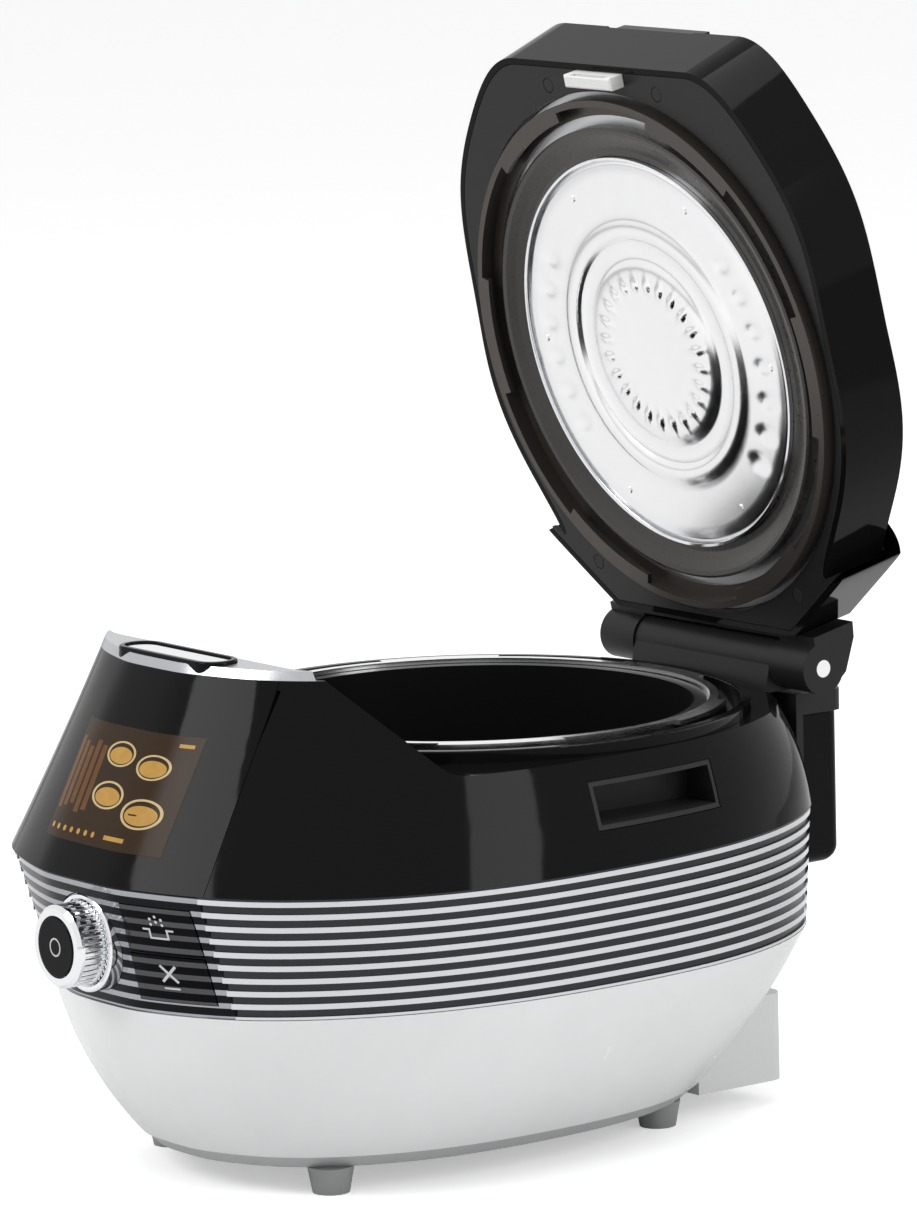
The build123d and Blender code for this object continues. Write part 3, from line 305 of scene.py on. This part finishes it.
# Screen: a dark lit ground with plain pots, bars at its left, and a row of dots
screen = {"x": casing["screenX"], "middleZ": (casing["screenLow"] + casing["screenHigh"]) / 2,
          "height": casing["screenHigh"] - casing["screenLow"],
          "pots": [(-0.004, 0.196, 0.0105), (0.02, 0.193, 0.0105), (-0.003, 0.179, 0.0115), (0.023, 0.174, 0.0125)]}
ground = laidOn(patch(screen["x"], screen["middleZ"], 2 * casing["screenHalf"], screen["height"], 16), "front_window")
piece("screenFace", ground, "screenGround", "cooker")
bars = [patch(screen["x"] - 0.0385 + 0.0052 * i, 0.1845, 0.0036, 0.03 - 0.003 * (i % 3)) for i in range(5)]
piece("screenBars", laidOn(joined(bars), "front_window", 0.0002), "brown", "cooker", False)
potRims = [roundPatch(screen["x"] + x, z, size, size * 0.86, 0.5) for x, z, size in screen["pots"]]
piece("screenRims", laidOn(joined(potRims), "front_window", 0.0003), "straw", "cooker", False)
potFills = [roundPatch(screen["x"] + x, z - 0.0006, size * 0.78, 0.0, 0.42) for x, z, size in screen["pots"]]
piece("screenPots", laidOn(joined(potFills), "front_window", 0.00025), "amber", "cooker", False)
dots = [roundPatch(screen["x"] - 0.037 + 0.0056 * i, 0.1625, 0.0012) for i in range(7)]
dots += [patch(screen["x"] + 0.012, 0.1625, 0.014, 0.0018), patch(screen["x"] + 0.034, 0.203, 0.008, 0.0015)]
piece("screenDots", laidOn(joined(dots), "front_window", 0.0003), "amber", "cooker", False)

# Marks on the keys and the knob: a pot with steam, a cross with a bar under it, and a ring
marks = {
    "x": casing["keyMiddle"], "startZ": casing["startZ"] + 0.001, "cancelZ": casing["cancelZ"] + 0.001,
    "lift": 0.0001, "stroke": 0.0009,
    "potWidth": 0.0085, "potFloor": -0.0045, "wallX": 0.0043, "wallZ": -0.0025, "wallHeight": 0.0048,
    "lipX": 0.0062, "lipZ": -0.0006, "lipWidth": 0.0028,
    "steam": [(-0.0028, 0.0018), (-0.0028, 0.0042), (0.0, 0.003), (0.0, 0.0054), (0.0028, 0.0018),
              (0.0028, 0.0042)],
    "steamRadius": 0.0007, "steamTurns": 12,
    "crossLength": 0.0105, "crossStroke": 0.0012, "crossRise": 0.0015,
    "barDrop": 0.0052, "barWidth": 0.0075, "barStroke": 0.0008,
    "ringOuter": 0.0042, "ringInner": 0.0034,
}


def potMark():
    x, z, stroke = marks["x"], marks["startZ"], marks["stroke"]
    parts = [patch(x, z + marks["potFloor"], marks["potWidth"], stroke)]
    parts += [patch(x + side * marks["wallX"], z + marks["wallZ"], stroke, marks["wallHeight"]) for side in (-1, 1)]
    parts += [patch(x + side * marks["lipX"], z + marks["lipZ"], marks["lipWidth"], stroke) for side in (-1, 1)]
    parts += [roundPatch(x + dx, z + dz, marks["steamRadius"], 0.0, 1.0, marks["steamTurns"])
              for dx, dz in marks["steam"]]
    return joined(parts)


def crossMark():
    parts = []
    for turn in (45, -45):
        bar = patch(0, 0, marks["crossLength"], marks["crossStroke"])
        bmesh.ops.rotate(bar, cent=(0, 0, 0), matrix=Matrix.Rotation(math.radians(turn), 3, "Y"), verts=bar.verts)
        bmesh.ops.translate(bar, vec=(marks["x"], 0, marks["cancelZ"] + marks["crossRise"]), verts=bar.verts)
        parts.append(bar)
    parts.append(patch(marks["x"], marks["cancelZ"] - marks["barDrop"], marks["barWidth"], marks["barStroke"]))
    return joined(parts)


piece("startMark", laidOn(potMark(), "start_key", marks["lift"]), "markWhite", "start", False)
piece("cancelMark", laidOn(crossMark(), "cancel_key", marks["lift"]), "markWhite", "cancel", False)
knobRing = roundPatch(0, casing["knobZ"], marks["ringOuter"], marks["ringInner"])
piece("okMark", laidOn(knobRing, "ok_button", marks["lift"]), "markWhite", "ok", False)
print("screen and marks made")

# Inner plate of the lid: pressed steel, turned from its profile, with drawn dimples, and dark discs of painted shade
# where the steam holes are
lidPlane = {"away": Vector(joints["lock_turn"]["axis"]).normalized(), "centre": Vector(joints["lock_turn"]["pos_m"])}
lidPlane["front"] = Vector((1, 0, 0)).cross(lidPlane["away"]) * -1
plate = {"radius": 0.0921, "level": -0.0065, "thickness": 0.0007, "turns": 288,
         "tears": 24, "tearRadius": 0.0332, "tearDepth": 0.0011,
         "tearHalf": (0.0024, 0.0036), "tearSlope": 0.7,
         "ovals": [(-1, 6), (1, 7)], "ovalRadius": 0.0768, "ovalDepth": 0.0008, "ovalStep": 12.5,
         "ovalHalf": (0.0062, 0.0046), "ovalSlope": 0.6,
         "holes": 8, "holeRadius": 0.0508, "holeSize": 0.0017, "holeDepth": 0.0009, "holeTurns": 24}
plateProfile = [
    (0.0, 0.0010), (0.010, 0.0010), (0.016, 0.0012), (0.022, 0.0015), (0.026, 0.0016), (0.030, 0.0016),
    (0.0315, 0.0016), (0.033, 0.0016), (0.0345, 0.0016), (0.036, 0.0016), (0.039, 0.0015), (0.0415, 0.0011),
    (0.0432, 0.0003), (0.0445, -0.0004), (0.046, -0.0006), (0.049, -0.0006), (0.0535, -0.0006), (0.0545, 0.0),
    (0.0555, 0.0009), (0.057, 0.0013), (0.0595, 0.0014), (0.0615, 0.0011), (0.063, 0.0004), (0.0645, 0.0),
    (0.068, 0.0), (0.071, 0.0), (0.073, 0.0), (0.0745, 0.0), (0.076, 0.0), (0.0775, 0.0), (0.079, 0.0),
    (0.0805, 0.0), (0.084, 0.0), (0.088, 0.0), (0.0895, -0.0004), (0.0921, -0.0004),
]


def lidPoint(x, s, n):
    return lidPlane["centre"] + Vector((x, 0, 0)) + lidPlane["front"] * s + lidPlane["away"] * n


def innerPlate():
    bm = bmesh.new()
    last = None
    for radius, height in plateProfile:
        new = bm.verts.new((radius, 0, plate["level"] + height))
        if last:
            bm.edges.new((last, new))
        last = new
    bmesh.ops.spin(bm, geom=bm.verts[:] + bm.edges[:], cent=(0, 0, 0), axis=(0, 0, 1), angle=math.tau,
                   steps=plate["turns"], use_merge=True)
    bmesh.ops.remove_doubles(bm, verts=bm.verts, dist=1e-6)
    tearAcross, tearAlong = plate["tearHalf"]
    ovalX, ovalY = plate["ovalHalf"]
    for v in bm.verts:
        radius = math.hypot(v.co.x, v.co.y)
        angle = math.atan2(v.co.y, v.co.x)
        part = (angle / math.tau * plate["tears"]) % 1 - 0.5
        across = part * math.tau / plate["tears"] * radius
        tear = (across / tearAcross) ** 2 + ((radius - plate["tearRadius"]) / tearAlong) ** 2
        if tear < 1:
            v.co.z += plate["tearDepth"] * (1 - tear) ** plate["tearSlope"]
        for side, count in plate["ovals"]:
            for i in range(count):
                about = math.radians((i - (count - 1) / 2) * plate["ovalStep"]) + (math.pi if side < 0 else 0)
                x, y = plate["ovalRadius"] * math.cos(about), plate["ovalRadius"] * math.sin(about)
                oval = ((v.co.x - x) / ovalX) ** 2 + ((v.co.y - y) / ovalY) ** 2
                if oval < 1:
                    v.co.z -= plate["ovalDepth"] * (1 - oval) ** plate["ovalSlope"]
    bmesh.ops.recalc_face_normals(bm, faces=bm.faces)
    bmesh.ops.solidify(bm, geom=bm.faces[:], thickness=plate["thickness"])
    bmesh.ops.recalc_face_normals(bm, faces=bm.faces)
    turn = Matrix((Vector((1, 0, 0)), lidPlane["front"], lidPlane["away"])).transposed().to_4x4()
    bmesh.ops.transform(bm, matrix=Matrix.Translation(lidPlane["centre"]) @ turn, verts=bm.verts)
    made = piece("pressedPlate", bm, "steel", "lid")
    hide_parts("inner_plate")
    # the steam holes are not cut through the plate: near-black discs sit at each one as painted shade for the dark
    # inside of the holes
    holes = []
    for i in range(plate["holes"]):
        about = math.radians(90 + i * 360 / plate["holes"])
        hole = bmesh.new()
        bmesh.ops.create_cone(hole, cap_ends=True, segments=plate["holeTurns"], radius1=plate["holeSize"],
                              radius2=plate["holeSize"], depth=plate["holeDepth"])
        where = lidPoint(plate["holeRadius"] * math.cos(about), plate["holeRadius"] * math.sin(about),
                         plate["level"] - plate["holeDepth"])
        bmesh.ops.transform(hole, matrix=Matrix.Translation(where) @ turn, verts=hole.verts)
        holes.append(hole)
    piece("steamHoleShade", joined(holes), "holeShade", "lid", False)


innerPlate()
print("pressed plate made")

placeCamera(cameraLook)


# The studio: how bright the white round the object is, and the pale floor under it
studioLook = {"dim": 0.55, "white": 1.0, "floorColour": (0.86, 0.86, 0.86, 1), "floorRough": 0.9, "floorLift": 0.42,
              "floorHalf": 12}


def studio():
    scene = bpy.context.scene
    scene.view_settings.view_transform = "Standard"
    world = bpy.data.worlds.new("studio")
    scene.world = world
    world.use_nodes = True
    tree = world.node_tree
    tree.nodes.clear()
    out = tree.nodes.new("ShaderNodeOutputWorld")
    rays = tree.nodes.new("ShaderNodeLightPath")
    seen = tree.nodes.new("ShaderNodeMath")
    seen.operation = "MAXIMUM"
    link(tree, rays.outputs["Is Camera Ray"], seen.inputs[0])
    either = tree.nodes.new("ShaderNodeMath")
    either.operation = "MAXIMUM"
    link(tree, rays.outputs["Is Glossy Ray"], either.inputs[0])
    link(tree, rays.outputs["Is Transmission Ray"], either.inputs[1])
    link(tree, either.outputs[0], seen.inputs[1])
    dim = tree.nodes.new("ShaderNodeBackground")
    dim.inputs["Color"].default_value = (1, 1, 1, 1)
    dim.inputs["Strength"].default_value = studioLook["dim"]
    white = tree.nodes.new("ShaderNodeBackground")
    white.inputs["Color"].default_value = (1, 1, 1, 1)
    white.inputs["Strength"].default_value = studioLook["white"]
    mix = tree.nodes.new("ShaderNodeMixShader")
    link(tree, seen.outputs[0], mix.inputs[0])
    link(tree, dim.outputs[0], mix.inputs[1])
    link(tree, white.outputs[0], mix.inputs[2])
    link(tree, mix.outputs[0], out.inputs[0])

    floorMaterial, floorTree, shader = newMaterial("paleFloor")
    shader.inputs["Base Color"].default_value = studioLook["floorColour"]
    shader.inputs["Roughness"].default_value = studioLook["floorRough"]
    floorRays = floorTree.nodes.new("ShaderNodeLightPath")
    shader.inputs["Emission Color"].default_value = (1, 1, 1, 1)
    lift = floorTree.nodes.new("ShaderNodeMath")
    lift.operation = "MULTIPLY"
    lift.inputs[1].default_value = studioLook["floorLift"]
    link(floorTree, floorRays.outputs["Is Camera Ray"], lift.inputs[0])
    link(floorTree, lift.outputs[0], shader.inputs["Emission Strength"])
    bm = bmesh.new()
    bmesh.ops.create_grid(bm, x_segments=1, y_segments=1, size=studioLook["floorHalf"])
    mesh = bpy.data.meshes.new("floor")
    bm.to_mesh(mesh)
    bm.free()
    mesh.materials.append(floorMaterial)
    floor = bpy.data.objects.new("floor", mesh)
    scene.collection.objects.link(floor)

    lamps = {
        "keyLamp": ((-0.6, -2.2, 2.0), (0, 0, 0.2), (1.2, 1.2), 34),
        "sideLamp": ((2.6, 0.9, 1.5), (0, 0, 0.25), (0.9, 1.6), 26),
        "topLamp": ((0.2, 0.2, 2.6), (0, 0, 0.2), (1.6, 1.6), 26),
    }
    for name, (place, target, size, power) in lamps.items():
        lamp = bpy.data.objects.new(name, bpy.data.lights.new(name, "AREA"))
        lamp.data.shape = "RECTANGLE"
        lamp.data.size, lamp.data.size_y = size
        lamp.data.energy = power
        lamp.location = place
        lamp.rotation_euler = (Vector(target) - Vector(place)).to_track_quat("-Z", "Y").to_euler()
        scene.collection.objects.link(lamp)


studio()
print("scene ready")
